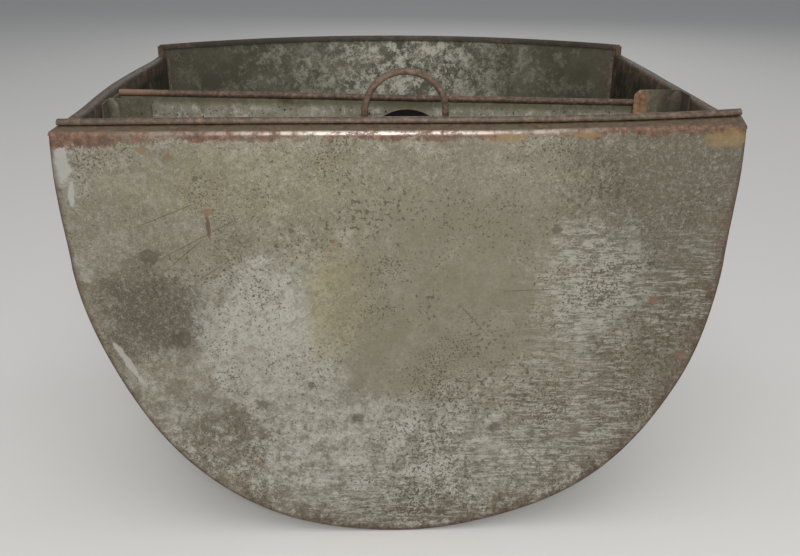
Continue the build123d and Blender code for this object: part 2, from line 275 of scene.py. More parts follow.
def make_streak_group():
    """Wipe marks: noise that is long one way and short the other."""
    tree, given, result = group(
        "wipe_streaks",
        [("Place", VECTOR, None), ("Turn", FLOAT, 0.0), ("Length", FLOAT, 30.0), ("Width", FLOAT, 1.5),
         ("Level", FLOAT, 0.55), ("Softness", FLOAT, 0.08)],
        [("Mask", FLOAT)],
    )
    turned = add(tree, "ShaderNodeVectorRotate", {"Vector": given["Place"], "Angle": given["Turn"]},
                 rotation_type="Y_AXIS")
    along = one_over(tree, given["Length"])
    across = one_over(tree, given["Width"])
    ratio = add(tree, "ShaderNodeCombineXYZ", {"X": along, "Y": along, "Z": across}).outputs[0]
    squeezed = add(tree, "ShaderNodeVectorMath", {0: turned.outputs[0], 1: ratio}, operation="MULTIPLY")
    made = add(tree, "ShaderNodeTexNoise", {"Vector": squeezed.outputs[0], "Scale": 1.0, "Detail": 6.0,
                                            "Roughness": 0.72})
    tree.links.new(about(tree, made.outputs["Fac"], given["Level"], given["Softness"]), result["Mask"])
    return tree


CLOUD = make_cloud_group()
PITS = make_pit_group()
STREAKS = make_streak_group()
print("groups:", CLOUD.name, PITS.name, STREAKS.name)

# %% [markdown]
# A stain is an ellipse whose rim wanders. Its group moves the point to the stain's centre, turns it,
# divides it by the stain's size and adds noise to the distance. A very thin stain is a scratch. Rust is
# one group too, so that the same browns turn up on every piece.

# %% Stains and rust
def make_stain_group():
    tree, given, result = group(
        "ragged_stain",
        [("Place", VECTOR, None), ("Centre", VECTOR, None), ("Size", VECTOR, None), ("Turn", FLOAT, 0.0),
         ("Ragged", FLOAT, 0.5), ("Grain", FLOAT, 6.0), ("Softness", FLOAT, 0.3)],
        [("Mask", FLOAT)],
    )
    moved = add(tree, "ShaderNodeVectorMath", {0: given["Place"], 1: given["Centre"]}, operation="SUBTRACT")
    turned = add(tree, "ShaderNodeVectorRotate", {"Vector": moved.outputs[0], "Angle": given["Turn"]},
                 rotation_type="Y_AXIS")
    sized = add(tree, "ShaderNodeVectorMath", {0: turned.outputs[0], 1: given["Size"]}, operation="DIVIDE")
    length = add(tree, "ShaderNodeVectorMath", {0: sized.outputs[0]}, operation="LENGTH").outputs["Value"]
    scale = one_over(tree, given["Grain"])
    wander = add(tree, "ShaderNodeTexNoise", {"Vector": given["Place"], "Scale": scale, "Detail": 8.0,
                                              "Roughness": 0.8})
    centred = maths(tree, "SUBTRACT", wander.outputs["Fac"], 0.5)
    distance = maths(tree, "MULTIPLY_ADD", centred, given["Ragged"], length)
    outside = about(tree, distance, 1.0, given["Softness"])
    tree.links.new(maths(tree, "SUBTRACT", 1.0, outside), result["Mask"])
    return tree


def make_rust_group():
    """Rust from near black through brown to tan, turned redder by Redness."""
    tree, given, result = group(
        "rust_colour",
        [("Place", VECTOR, None), ("Warmth", FLOAT, 0.0), ("Redness", FLOAT, 0.3)],
        [("Color", COLOUR)],
    )
    made = add(tree, "ShaderNodeTexNoise", {"Vector": given["Place"], "Scale": 0.5, "Detail": 8.0,
                                            "Roughness": 0.72})
    lifted = maths(tree, "ADD", made.outputs["Fac"], given["Warmth"])
    brown_steps = ((0.34, shade(44, 37, 29)), (0.5, shade(76, 63, 49)), (0.62, shade(106, 88, 70)),
                   (0.76, shade(142, 120, 92)))
    red_steps = ((0.34, shade(50, 33, 25)), (0.5, shade(88, 59, 45)), (0.62, shade(116, 80, 60)),
                 (0.76, shade(158, 116, 72)))
    ramps = []
    for steps in (brown_steps, red_steps):
        ramps.append(add(tree, "ShaderNodeValToRGB", {"Fac": lifted}))
        ends = ramps[-1].color_ramp.elements
        ends[0].position, ends[0].color = steps[0]
        ends[1].position, ends[1].color = steps[-1]
        for position, colour in steps[1:-1]:
            ends.new(position).color = colour
    brown, red = (r.outputs["Color"] for r in ramps)
    mixed = add(tree, "ShaderNodeMix", {0: given["Redness"], 6: brown, 7: red}, data_type="RGBA")
    tree.links.new(mixed.outputs[2], result["Color"])
    return tree


STAIN = make_stain_group()
RUST = make_rust_group()
print("groups:", STAIN.name, RUST.name)

# %% [markdown]
# ## A finish, built up in layers
# A tinsmith's piece ages in layers, so the finishes are built the same way: a ground colour, then
# tarnish, stains, pits and rust over it. The Finish class holds one material while layers go on. Each
# layer has a mask, a colour, a roughness and how metallic it is, and may add to the surface height.
# Masks come from the groups, from a point's place in millimetres, and from how far inside the outline
# it lies, a value that every piece carries on its mesh under the name inset.

# %% The Finish class
def screen_colour(given):
    """A link as it is, or a colour given as it looks on screen."""
    return given if isinstance(given, bpy.types.NodeSocket) else shade(*given)


class Finish:
    """A material under construction."""

    def __init__(self, name, colour, roughness, metallic):
        self.material = bpy.data.materials.new(name)
        self.material.use_nodes = True
        self.tree = self.material.node_tree
        self.shader = self.tree.nodes["Principled BSDF"]
        coordinates = add(self.tree, "ShaderNodeTexCoord").outputs
        self.normal = coordinates["Normal"]
        self.inset = add(self.tree, "ShaderNodeAttribute", attribute_name="inset").outputs["Fac"]
        scaled = add(self.tree, "ShaderNodeVectorMath", {0: coordinates["Object"], "Scale": 1 / MM},
                     operation="SCALE")
        self.place = scaled.outputs[0]
        split = add(self.tree, "ShaderNodeSeparateXYZ", {0: self.place})
        self.x, self.y, self.z = split.outputs[0], split.outputs[1], split.outputs[2]
        self.colour = screen_colour(colour)
        self.roughness = roughness
        self.metallic = metallic
        self.height = 0.0

    def use(self, kind, **inputs):
        """A pattern group's first output, at this piece's place."""
        made = add(self.tree, "ShaderNodeGroup", node_tree=kind)
        self.tree.links.new(self.place, made.inputs["Place"])
        for label, value in inputs.items():
            feed(self.tree, made.inputs[label], value)
        return made.outputs[0]

    def mix(self, mask, under, over, data_type="FLOAT"):
        """One value laid over another by a mask."""
        made = add(self.tree, "ShaderNodeMix", data_type=data_type)
        slots = {"FLOAT": (2, 3, 0), "RGBA": (6, 7, 2)}[data_type]
        for index, value in ((0, mask), (slots[0], under), (slots[1], over)):
            feed(self.tree, made.inputs[index], value)
        return made.outputs[slots[2]]

    def layer(self, mask, colour=None, roughness=None, metallic=None, height=None, strength=1.0):
        """Lays colour, roughness and metal over what is there, and raises or sinks the surface."""
        if strength != 1.0:
            mask = maths(self.tree, "MULTIPLY", mask, strength)
        if colour is not None:
            self.colour = self.mix(mask, self.colour, screen_colour(colour), "RGBA")
        if roughness is not None:
            self.roughness = self.mix(mask, self.roughness, roughness)
        if metallic is not None:
            self.metallic = self.mix(mask, self.metallic, metallic)
        if height is not None:
            self.height = maths(self.tree, "MULTIPLY_ADD", mask, height, self.height)
        return mask

    def above(self, value, low, high):
        """0 where value is below low, rising to 1 at high."""
        return smooth_between(self.tree, value, low, high)

    def below(self, value, low, high):
        """1 where value is below low, falling to 0 at high."""
        return maths(self.tree, "SUBTRACT", 1.0, self.above(value, low, high))

    def maths(self, operation, *values):
        return maths(self.tree, operation, *values)

    def times(self, first, second):
        """Two masks where they overlap, or a value scaled."""
        return maths(self.tree, "MULTIPLY", first, second)

    def near(self, value, centre, reach):
        """1 where value is at centre, falling to 0 at reach away."""
        away = maths(self.tree, "ABSOLUTE", maths(self.tree, "SUBTRACT", value, centre))
        return self.below(away, 0.0, reach)

    def facing(self, towards):
        """1 on faces that look along towards, which may be a link, and 0 on faces that look away."""
        dot = add(self.tree, "ShaderNodeVectorMath", {0: self.normal, 1: towards}, operation="DOT_PRODUCT")
        return smooth_between(self.tree, dot.outputs["Value"], 0.0, 0.3)

    def done(self):
        """Wires the layers into the shader. Heights are in millimetres."""
        values = {"Base Color": self.colour, "Roughness": self.roughness, "Metallic": self.metallic}
        for label, value in values.items():
            feed(self.tree, self.shader.inputs[label], value)
        bump = add(self.tree, "ShaderNodeBump", {"Height": self.height, "Distance": MM, "Strength": 1.0})
        self.tree.links.new(bump.outputs["Normal"], self.shader.inputs["Normal"])
        return self.material


print("a finish holds colour, roughness, metal and height")

# %% [markdown]
# ## The finish of the near panel
# This sheet is the face of the scoop: grey tin gone matt, lighter where it was rubbed and browner
# where it was wet. A large smooth stain sits in the middle, with an olive fringe on its left. Rust
# starts at the folded edge all round. Small marks are stains too, each with its own place.

# %% Near panel tin
ANY_DEPTH = 1e6


def spot(finish, x, drop, half_wide, half_high, turn=0.0, ragged=0.5, grain=6.0, softness=0.3):
    """A stain centred x from the middle and drop below the near panel's fold, in millimetres."""
    height = TOP_Z / MM - drop
    return finish.use(STAIN, Centre=(x, 0, height), Size=(half_wide, ANY_DEPTH, half_high),
                      Turn=math.radians(turn), Ragged=ragged, Grain=grain, Softness=softness)


def lay_tarnish(tin):
    """The ground of the panel: clouds of every size, down to grain."""
    for size, level, softness, colour, strength in (
            (60.0, 0.5, 0.12, (120, 115, 97), 0.6), (22.0, 0.52, 0.04, (106, 99, 81), 0.6),
            (15.0, 0.54, 0.03, (162, 159, 146), 0.65), (7.0, 0.53, 0.03, (98, 91, 73), 0.5)):
        clouds = tin.use(CLOUD, Size=size, Level=level, Softness=softness, Shift=size, Grain=0.84)
        tin.layer(clouds, colour, strength=strength)


def lay_grain(tin):
    """Fine dark and light grain over everything, as on sandpaper."""
    for size, level, colour, strength, height in (
            (3.4, 0.53, (94, 88, 71), 0.4, 0.0), (2.1, 0.56, (170, 167, 155), 0.35, 0.01),
            (1.1, 0.55, (84, 77, 61), 0.4, -0.012), (0.8, 0.57, (184, 181, 170), 0.35, 0.01)):
        fine = tin.use(CLOUD, Size=size, Level=level, Softness=0.05, Shift=size, Grain=0.8)
        tin.layer(fine, colour, height=height, strength=strength)
    low = tin.below(tin.z, 30.0, 120.0)
    for size, level, colour in ((9.0, 0.5, (92, 86, 69)), (6.0, 0.53, (178, 175, 164))):
        flakes = tin.use(CLOUD, Size=size, Level=level, Softness=0.03, Shift=size, Grain=0.88)
        tin.layer(tin.times(low, flakes), colour, 0.5, strength=0.75)


def lay_stains(tin):
    """Large stains, tarnished places and light places, from the left to the right."""
    for x, drop, wide, high, slant, colour, strength in (
            (-98, 42, 46, 30, 0, (112, 106, 89), 0.5), (-104, 84, 24, 20, 0, (78, 71, 56), 0.85),
            (-112, 66, 16, 10, 0, (84, 77, 62), 0.6), (-74, 142, 28, 13, -30, (88, 81, 65), 0.75),
            (-52, 24, 56, 15, 0, (136, 129, 96), 0.4), (-58, 98, 30, 36, 0, (168, 166, 155), 0.75),
            (-6, 158, 56, 24, 0, (174, 172, 161), 0.8), (44, 26, 100, 22, 0, (118, 112, 95), 0.6),
            (118, 42, 44, 62, 0, (90, 85, 70), 0.85), (118, 118, 32, 62, -24, (92, 84, 68), 0.65),
            (-27, 76, 14, 27, -10, (136, 128, 90), 0.6), (-8, 130, 60, 6, -6, (164, 162, 151), 0.4)):
        stain = spot(tin, x, drop, wide, high, turn=slant, ragged=3.0, grain=13.0, softness=0.3)
        tin.layer(stain, colour, strength=strength)


def lay_wet_stain(tin):
    """The smooth brown stain in the middle, two blots run together."""
    wet = spot(tin, 24, 68, 50, 42, ragged=1.4, grain=26.0, softness=0.3)
    lobe = spot(tin, 6, 98, 32, 24, turn=24, ragged=0.9, grain=12.0, softness=0.16)
    tin.layer(tin.maths("MAXIMUM", wet, lobe), (118, 111, 93), 0.46, strength=0.62)


def lay_flaking(tin):
    """Low on the right the tin has flaked in short level tears, dark between light."""
    across = tin.maths("MULTIPLY_ADD", tin.x, 0.8, -40.0)
    low_right = tin.above(tin.maths("SUBTRACT", across, tin.z), -150.0, -50.0)
    patches = tin.use(CLOUD, Size=30.0, Level=0.47, Softness=0.08, Shift=12.0)
    where = tin.times(low_right, patches)
    bright = spot(tin, 84, 68, 22, 26, ragged=3.0, grain=8.0, softness=0.4)
    for place, length, width, level, colour, height in (
            (where, 9.0, 1.5, 0.5, (90, 83, 67), -0.02), (where, 8.0, 1.1, 0.54, (172, 169, 158), 0.02),
            (bright, 5.0, 1.2, 0.5, (172, 169, 158), 0.02)):
        tears = tin.use(STREAKS, Length=length, Width=width, Level=level, Softness=0.035)
        tin.layer(tin.times(place, tears), colour, 0.5, height=height, strength=0.6)
    return low_right


def lay_marks(tin, low_right):
    """Pits, scratches, dark blots and spots of rust."""
    extra = tin.times(low_right, 0.03)
    for size, level, drift, strength in ((0.9, 0.62, 30.0, 0.85), (1.9, 0.635, 40.0, 0.75)):
        pits = tin.use(PITS, Size=size, Level=level, Drift=drift, Gather=0.5, Extra=extra)
        tin.layer(pits, (78, 69, 53), 0.75, 0.1, height=-0.03, strength=strength)
    for x, drop, half_long, slant in (
            (-86, 48, 24, 28), (-92, 55, 15, 40), (-80, 62, 10, 33), (-98, 37, 17, 22), (32, 86, 10, -50),
            (58, 72, 12, 2), (62, 158, 18, -48)):
        scratch = spot(tin, x, drop, half_long, 0.25, turn=slant, ragged=3.0, grain=5.0, softness=0.5)
        tin.layer(scratch, (88, 80, 60), 0.6, height=-0.04, strength=0.7)
    for x, drop, size in (
            (-106, 55, 4.5), (-96, 94, 5), (116, 86, 1.4), (108, 60, 1.4), (66, 44, 2.4), (-62, 128, 3),
            (-46, 44, 1.5), (-84, 21, 1.4), (20, 190, 3), (44, 142, 3), (-20, 136, 3), (-40, 118, 2)):
        blot = spot(tin, x, drop, size, size * 0.8, ragged=3.5, grain=2.6, softness=0.2)
        tin.layer(blot, (74, 67, 53), 0.7, strength=0.6)
    for x, drop, size in (
            (111, 77, 2.0), (127, 104, 2.2), (-104, 9, 2.2), (-94, 12, 1.2), (-28, 49, 1.2), (-67, 160, 1.6),
            (-80, 35.5, 2.2)):
        spot_of_rust = spot(tin, x, drop, size, size * 0.8, ragged=3.0, grain=2.0, softness=0.25)
        tin.layer(spot_of_rust, (118, 88, 60), 0.8, 0.0, height=0.02, strength=0.7)
    tin.layer(spot(tin, -80.3, 42, 0.9, 5, turn=3, ragged=1.5, grain=2.0), (92, 68, 56), 0.7, strength=0.8)
    for x, drop, wide, high, slant in (
            (-137, 16, 4, 8, -8), (-134.5, 28, 1.2, 5, -6), (-120.6, 106, 1.5, 12, 26)):
        drip = spot(tin, x, drop, wide, high, turn=slant, ragged=3.2, grain=4.0, softness=0.2)
        tin.layer(drip, (164, 162, 154), 0.42, height=0.1, strength=0.85)


def lay_edge_rust_and_painted_light(tin, low_right):
    """Painted shade on the inward face; rust at the folded outline, under the top fold and on the shelf; a
    painted highlight on the fold.
    """
    # Painted shade: the inward face, inside the trough, is darkened.
    tin.layer(tin.facing((0, 1, 0)), (66, 62, 48), 0.65, strength=0.75)
    rust = tin.use(RUST, Redness=0.3)
    wander = tin.use(CLOUD, Size=9.0, Softness=0.25, Shift=2.0)
    reach = tin.maths("MULTIPLY_ADD", wander, 4.4, 1.2)
    edge = tin.below(tin.inset, 0.2, reach)
    tin.layer(edge, rust, 0.85, 0.0, height=0.03, strength=0.92)
    line = tin.below(tin.inset, 0.0, 1.3)
    tin.layer(line, (58, 44, 36), 0.85, 0.0, strength=0.7)
    low_edge = tin.below(tin.inset, 1.0, 13.0)
    blooms = tin.use(CLOUD, Size=7.0, Level=0.51, Softness=0.05, Shift=6.0, Grain=0.82)
    bloomed = tin.times(tin.times(blooms, low_edge), low_right)
    tin.layer(bloomed, rust, 0.85, 0.0, height=0.03, strength=0.8)

    lift = tin.times(tin.above(tin.x, 30.0, 130.0), 1.9)
    drop = tin.maths("SUBTRACT", tin.maths("ADD", lift, (TOP_Z - FOLD_SAG) / MM), tin.z)
    left_end = tin.below(tin.x, -125.0, -85.0)
    breaks = tin.use(CLOUD, Size=7.0, Level=0.46, Softness=0.14, Shift=5.0, Grain=0.75)
    depth = tin.maths("MULTIPLY_ADD", breaks, 3.4, tin.maths("MULTIPLY_ADD", left_end, 2.0, 1.8))
    band = tin.below(drop, tin.maths("SUBTRACT", depth, 1.0), depth)
    patches = tin.use(CLOUD, Size=16.0, Level=0.42, Softness=0.14, Shift=8.0)
    patchy = tin.maths("MAXIMUM", patches, left_end)
    red_rust = tin.use(RUST, Redness=0.85, Warmth=0.03)
    tin.layer(tin.times(band, patchy), red_rust, 0.6, 0.1, height=0.03, strength=0.9)

    behind_fold = tin.above(tin.y, -92.2, -91.0)
    on_shelf = tin.times(tin.above(tin.z, 196.0, 198.0), behind_fold)
    tin.layer(on_shelf, (92, 83, 68), 0.55, strength=0.95)
    shelf_rust = tin.use(CLOUD, Size=10.0, Level=0.5, Softness=0.16, Shift=7.0, Grain=0.75)
    shelf_brown = tin.use(RUST, Redness=0.2)
    tin.layer(tin.times(on_shelf, shelf_rust), shelf_brown, 0.6, 0.1, strength=0.9)
    on_bead = tin.above(tin.y, -88.2, -87.2)
    tin.layer(tin.times(on_bead, on_shelf), shelf_brown, 0.5, 0.15, strength=0.8)
    # Painted highlight: a bright colour along the middle of the fold stands in for the lamp's glint; its low
    # roughness and metal are real rubbed tin.
    at_fold = tin.times(tin.near(tin.y, -92.7, 1.4), tin.above(tin.z, 197.6, 199.0))
    middle = tin.times(at_fold, tin.near(tin.x, -8.0, 105.0))
    rubbed_and_highlit = tin.use(CLOUD, Size=5.0, Level=0.49, Softness=0.06, Shift=3.0, Grain=0.8)
    tin.layer(tin.times(middle, rubbed_and_highlit), (206, 192, 182), 0.28, 0.65, strength=0.95)
    for x, drop, wide, high in ((133, 5.5, 9, 3.5), (44, 4.5, 7, 1.8), (75, 3.5, 6, 1.2)):
        lump = spot(tin, x, drop, wide, high, ragged=3.0, grain=3.0)
        tin.layer(lump, (132, 108, 68), 0.7, 0.0, strength=0.6)


def make_panel_tin():
    tin = Finish("panel_tin", (142, 138, 122), 0.5, 0.3)
    lay_tarnish(tin)
    lay_stains(tin)
    lay_grain(tin)
    lay_wet_stain(tin)
    low_right = lay_flaking(tin)
    lay_marks(tin, low_right)
    lay_edge_rust_and_painted_light(tin, low_right)
    return tin.done()


PANEL_TIN = make_panel_tin()
print("near panel finish has", len(PANEL_TIN.node_tree.nodes), "nodes")

# %% [markdown]
# ## The other sheets
# The far panel is seen from inside: a greenish grey, mottled, with pale flecks gathered in the middle,
# partly a painted highlight, painted shade towards its sides, a painted dark band of shade along its
# hemmed top, and a painted near black shadow low down, where the divider shades it. The body sheet is
# the darkest, partly tarnish and partly painted shade inside, with more painted shade deep down and on
# its rims, and its corners are rusted. Outside, both are paler: the face's normal tells inside from
# outside. The divider is pale with a brown wired edge and a painted shadow under it. The guides are
# small, so a few large marks are enough, with painted shade where they meet the wall.

# %% Far panel, body sheet, divider and guide tin
def lay_mottle(tin, size, dark, light, shift=0.0):
    """Dark clouds with light flecks over them, then grain and pits."""
    tin.layer(tin.use(CLOUD, Size=size, Softness=0.08, Shift=shift, Grain=0.8), dark, 0.6)
    flecks = tin.use(CLOUD, Size=size / 3, Level=0.55, Softness=0.04, Shift=shift + 3, Grain=0.84)
    tin.layer(flecks, light, 0.44, strength=0.75)
    grain = tin.use(CLOUD, Size=2.0, Level=0.53, Softness=0.08, Shift=shift + 5, Grain=0.8)
    tin.layer(grain, dark, 0.6, height=-0.01, strength=0.6)
    pits = tin.use(PITS, Size=1.2, Level=0.64, Drift=28.0, Gather=0.4)
    tin.layer(pits, (48, 41, 32), 0.8, 0.0, height=-0.03)


def lay_outside(tin, outside):
    """A paler skin for the faces that look outwards; the inward faces stay darker, partly tarnish and partly
    painted shade.
    """
    tin.layer(outside, (124, 119, 102), 0.5, strength=0.85)
    for size, level, colour in (
            (40.0, 0.5, (104, 98, 81)), (16.0, 0.54, (156, 153, 140)), (5.0, 0.53, (98, 91, 74))):
        clouds = tin.use(CLOUD, Size=size, Level=level, Softness=0.05, Shift=size, Grain=0.84)
        tin.layer(tin.times(outside, clouds), colour, 0.5, strength=0.6)


def make_far_tin():
    tin = Finish("far_tin", (104, 101, 84), 0.5, 0.3)
    lay_mottle(tin, 30.0, (76, 74, 58), (150, 147, 130))
    # Pale flecks kept to the middle: partly fleck texture, partly a painted highlight where the lamps' sheen
    # falls on the panel's middle.
    flecks = tin.use(CLOUD, Size=5.0, Level=0.52, Softness=0.05, Shift=9.0, Grain=0.85)
    tin.layer(tin.times(flecks, tin.near(tin.x, 10.0, 90.0)), (178, 174, 158), 0.4)
    inside = tin.facing((0, -1, 0))
    lay_outside(tin, tin.facing((0, 1, 0)))
    rust = tin.use(RUST)
    # Painted shade: the inside is darker towards the sides and corners.
    painted_side_shade = tin.above(tin.maths("ABSOLUTE", tin.x), 40.0, 120.0)
    tin.layer(tin.times(painted_side_shade, inside), (62, 58, 45), 0.6, strength=0.6)
    # Painted shadow: near black low down on the inside, where the divider shades it.
    level = tin.maths("MULTIPLY_ADD", tin.use(CLOUD, Size=14.0, Softness=0.2), 4.0, tin.z)
    in_shade = tin.below(level, 172.5, 178.0)
    tin.layer(tin.times(in_shade, inside), (8, 7, 6), 1.0, 0.0)
    # Painted shade: a dark band along the hemmed top, where the up-facing hem would catch the overhead lamp;
    # the rust breaks over it are real.
    fall = (far_high.z - FAR_CORNER_Z) / FAR_TOP_HALF ** 2 * MM
    arch = tin.maths("MULTIPLY_ADD", tin.times(tin.x, tin.x), fall, tin.z)
    top_band = tin.above(arch, far_high.z / MM - 4.0, far_high.z / MM - 2.6)
    tin.layer(top_band, (48, 44, 34), 0.65, strength=0.9)
    breaks = tin.use(CLOUD, Size=8.0, Level=0.55, Softness=0.08, Shift=5.0)
    tin.layer(tin.times(top_band, breaks), rust, 0.8, 0.0, strength=0.5)
    edge = tin.below(tin.inset, 3.0, 14.0)
    tin.layer(tin.times(edge, tin.use(CLOUD, Size=10.0, Level=0.44)), rust, 0.85, 0.0,
              height=0.03, strength=0.9)
    return tin.done()


def make_wrap_tin():
    # The inside colours are dark partly from tarnish and partly as painted shade on walls that the light only
    # grazes.
    tin = Finish("wrap_tin", (64, 61, 47), 0.55, 0.3)
    lay_mottle(tin, 32.0, (42, 39, 29), (96, 92, 76), 1.0)
    rust = tin.use(RUST)
    # Painted shade: darker still deep down inside the trough.
    deep_shade = tin.below(tin.z, 130.0, 170.0)
    tin.layer(deep_shade, (42, 38, 29), 0.8, 0.0, strength=0.5)
    below = tin.maths("MINIMUM", tin.maths("SUBTRACT", tin.z, ARC_Z / MM), 0.0)
    lay_outside(tin, tin.facing(add(tin.tree, "ShaderNodeCombineXYZ", {"X": tin.x, "Z": below}).outputs[0]))
    blooms = tin.use(CLOUD, Size=18.0, Level=0.56, Softness=0.05, Shift=8.0, Grain=0.8)
    tin.layer(blooms, rust, 0.85, 0.0, height=0.04, strength=0.75)
    ends = tin.above(tin.maths("ABSOLUTE", tin.y), 78.0, 92.0)
    tin.layer(tin.times(ends, tin.use(CLOUD, Size=10.0, Level=0.47)), rust, 0.85, 0.0,
              strength=0.8)
    # Painted shade: the rolled rims are darkened where the overhead lamp would light their tops; the rust
    # over them is real.
    on_rim = tin.above(tin.z, 193.0, 197.5)
    tin.layer(on_rim, (60, 53, 42), 0.5, 0.2, strength=0.9)
    tin.layer(tin.times(on_rim, tin.use(CLOUD, Size=9.0, Softness=0.06, Grain=0.8)), rust, 0.7, 0.0)
    return tin.done()


def make_divider_tin():
    tin = Finish("divider_tin", (144, 140, 124), 0.5, 0.3)
    lay_mottle(tin, 18.0, (116, 112, 95), (186, 183, 170), 2.0)
    rust = tin.use(RUST)
    level = tin.maths("MULTIPLY_ADD", tin.x, math.sin(DIVIDER_TILT), tin.z)
    # Painted shadow: an olive-dark band just under the rolled edge, where the edge shades the plate.
    tin.layer(tin.near(level, 196.0, 3.5), (92, 87, 60), 0.6, strength=0.75)
    on_roll = tin.above(level, 197.5, 198.5)
    tin.layer(on_roll, rust, 0.65, 0.1)
    left_end = tin.below(tin.x, -122.0, -106.0)
    tin.layer(tin.times(left_end, on_roll), (120, 92, 72), 0.8, 0.0, strength=0.8)
    bloom = tin.use(CLOUD, Size=15.0, Level=0.6, Softness=0.05, Shift=6.0)
    tin.layer(bloom, rust, 0.85, 0.0, height=0.03, strength=0.6)
    return tin.done()


def make_guide_tin():
    tin = Finish("guide_tin", (106, 101, 84), 0.5, 0.3)
    lay_mottle(tin, 12.0, (84, 79, 64), (132, 128, 112), 4.0)
    rust = tin.use(RUST, Warmth=0.18, Redness=0.7)
    near_tip = tin.near(tin.x, 115.0, 7.0)
    breaks = tin.use(CLOUD, Size=8.0, Level=0.38, Softness=0.08, Shift=4.0, Grain=0.8)
    tin.layer(tin.times(near_tip, breaks), rust, 0.85, 0.0, height=0.04)
    # Painted shade: darker where the guide turns in to the side wall.
    at_wall = tin.above(tin.x, 122.0, 128.0)
    tin.layer(at_wall, (56, 49, 38), 0.7, 0.1, strength=0.85)
    blooms = tin.use(CLOUD, Size=9.0, Level=0.58, Softness=0.06, Shift=7.0)
    tin.layer(blooms, tin.use(RUST), 0.85, 0.0, strength=0.7)
    return tin.done()


FAR_TIN = make_far_tin()
WRAP_TIN = make_wrap_tin()
DIVIDER_TIN = make_divider_tin()
GUIDE_TIN = make_guide_tin()
print("finishes:", ", ".join(m.name for m in (FAR_TIN, WRAP_TIN, DIVIDER_TIN, GUIDE_TIN)))

# %% [markdown]
# ## Wire and solder
# Wire has no tin left, so it is plain rust, rubbed brighter where hands held it. Solder is a soft
# grey metal that dulls but doesn't rust, with a lumpy skin from the iron.

# %% Wire and solder
def make_rust_wire(name, bright, rubbed_share):
    wire = Finish(name, (0, 0, 0), 0.7, 0.1)
    wire.colour = wire.use(RUST)
    wire.layer(wire.use(CLOUD, Size=5.0, Level=0.5, Softness=0.12), bright, 0.45, 0.35, strength=rubbed_share)
    wire.layer(wire.use(PITS, Size=0.7, Level=0.6, Drift=8.0), (46, 36, 30), 0.85, 0.0, height=-0.04)
    return wire.done()


def make_solder():
    metal = Finish("solder", (126, 123, 112), 0.42, 0.5)
    metal.layer(metal.use(CLOUD, Size=7.0, Softness=0.12), (96, 91, 79), 0.55, height=0.1)
    metal.layer(metal.use(CLOUD, Size=11.0, Level=0.56, Softness=0.06, Shift=5.0), metal.use(RUST), 0.8, 0.0,
                strength=0.7)
    metal.layer(metal.use(PITS, Size=0.9, Level=0.63, Drift=12.0), (62, 55, 46), 0.7, 0.1, height=-0.05)
    return metal.done()


RIM_WIRE = make_rust_wire("rim_wire", (104, 94, 80), 0.35)
RING_WIRE = make_rust_wire("ring_wire", (118, 99, 84), 0.6)
SOLDER = make_solder()
print("finishes:", RIM_WIRE.name, RING_WIRE.name, SOLDER.name)

# %% [markdown]
# ## Old sheet isn't flat
# The near rim has sagged, the side rims have bowed and the panels are dented. Every piece of the
# trough goes through one function that says where each point ends up, so parts that touch go on
# touching. Smooth noise gives the dents, and they fade out at the seams, the guides and the ring.

# %% Dents, bows and the sagging rim
BEAD_SAG = 0.9 * MM
BEAD_RISE = 2.9 * MM
LEFT_BOW = 3.0 * MM
RIGHT_BOW = 1.2 * MM
DENT = 0.45 * MM


def ramp(value, low, high):
    """0 below low, 1 above high, smooth in between. Works with low above high too."""
    share = max(0.0, min(1.0, (value - low) / (high - low)))
    return share * share * (3 - 2 * share)


def dent(place, size, shift):
    """Smooth noise from -1 to 1 whose bumps are about size across."""
    return noise.noise(place / size + Vector((shift, shift * 2, shift * 3)))


def bump(value, centre, reach):
    """1 at centre, falling smoothly to 0 at reach to each side."""
    return ramp(abs(value - centre), reach, 0)


def outline_knocks(x, z):
    """How far the near end's outline has been knocked out of round, as a move in X and Z."""
    below = min(z - ARC_Z, 0.0)
    radius = math.hypot(x, below)
    if radius < 1e-6:
        return Vector((0, 0, 0))
    angle = abs(math.degrees(math.atan2(below, x)))
    out = 1.2 * bump(angle, 114, 20) - 4.3 * bump(angle, 158, 34)
    out += 2.5 * bump(angle, 50, 26) - 1.0 * bump(angle, 8, 18)
    if z > ARC_Z:
        out = out * ramp(z, 165 * MM, ARC_Z) + 0.9 * bump(z, 182 * MM, 28 * MM)
    return Vector((x, 0, below)) / radius * out * MM * (radius / END_RADIUS) ** 3


